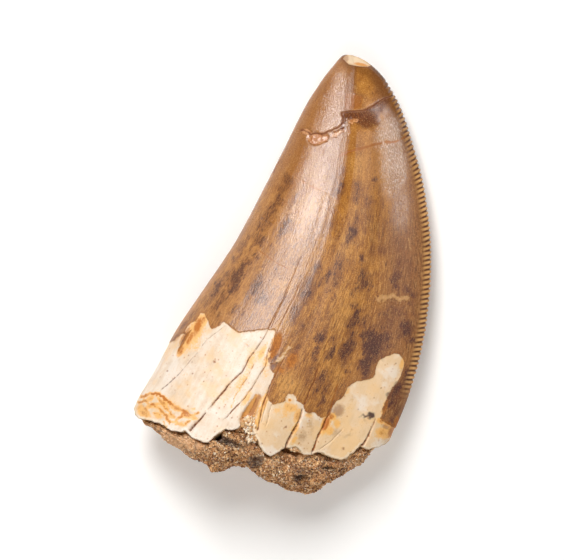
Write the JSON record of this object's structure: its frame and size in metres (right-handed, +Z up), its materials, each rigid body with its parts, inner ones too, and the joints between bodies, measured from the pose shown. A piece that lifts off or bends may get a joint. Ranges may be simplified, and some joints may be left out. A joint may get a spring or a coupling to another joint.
{
  "type": "fossil dinosaur tooth",
  "caption": "Curved, blade-like fossil tooth crown with one finely serrated edge, sandy matrix in its broken base, lying on its side.",
  "frame": {"origin": "middle of the bounding box in X and Y, on the surface that the tooth lies on", "axes": "+Y runs along the crown from the broken base to the tip, +X points to the serrated edge, +Z is up, away from the face that the tooth lies on"},
  "size_m": [0.0322, 0.0526, 0.0154],
  "materials": {
    "tooth": "satin-gloss fossil enamel, tan to caramel brown with purple-brown mottling and fine lengthwise lines; matt cream dentine along the broken base",
    "matrix": "rough, dull sandstone matrix with pale and dark grains"
  },
  "bodies": {
    "root": {"tooth": "tooth", "matrix": "matrix"}
  },
  "joints": []
}
